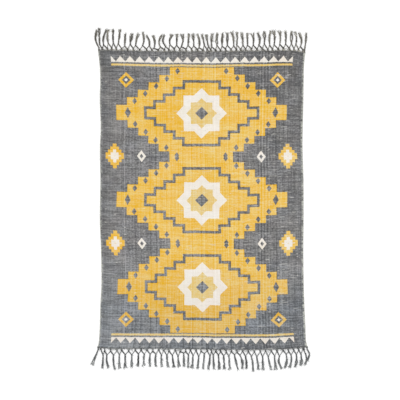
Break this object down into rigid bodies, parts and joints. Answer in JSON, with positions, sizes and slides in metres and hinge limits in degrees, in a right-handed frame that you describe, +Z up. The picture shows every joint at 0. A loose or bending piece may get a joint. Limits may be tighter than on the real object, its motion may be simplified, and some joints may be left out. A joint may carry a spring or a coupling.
{
  "type": "kids rug",
  "caption": "Oblong flat-woven cotton rug that lies flat on a floor, printed on top, with its warp ends knotted into a tasselled fringe at both short ends.",
  "frame": {"origin": "on the floor, at the middle of the cloth's underside", "axes": "+X across the rug to the right, +Y along the rug to its far end, +Z up off the floor"},
  "size_m": [0.942, 1.4974, 0.0068],
  "materials": {
    "printed_cotton": "matt plain-woven cotton with slubs, printed in charcoal, ochre, straw and cream, and bare cotton underneath",
    "fringe_yarn": "matt charcoal cotton yarn with pale flecks, knotted and frayed at its ends"
  },
  "bodies": {
    "root": {"cloth": "printed_cotton", "fringe_far": "fringe_yarn", "fringe_near": "fringe_yarn"}
  },
  "joints": []
}
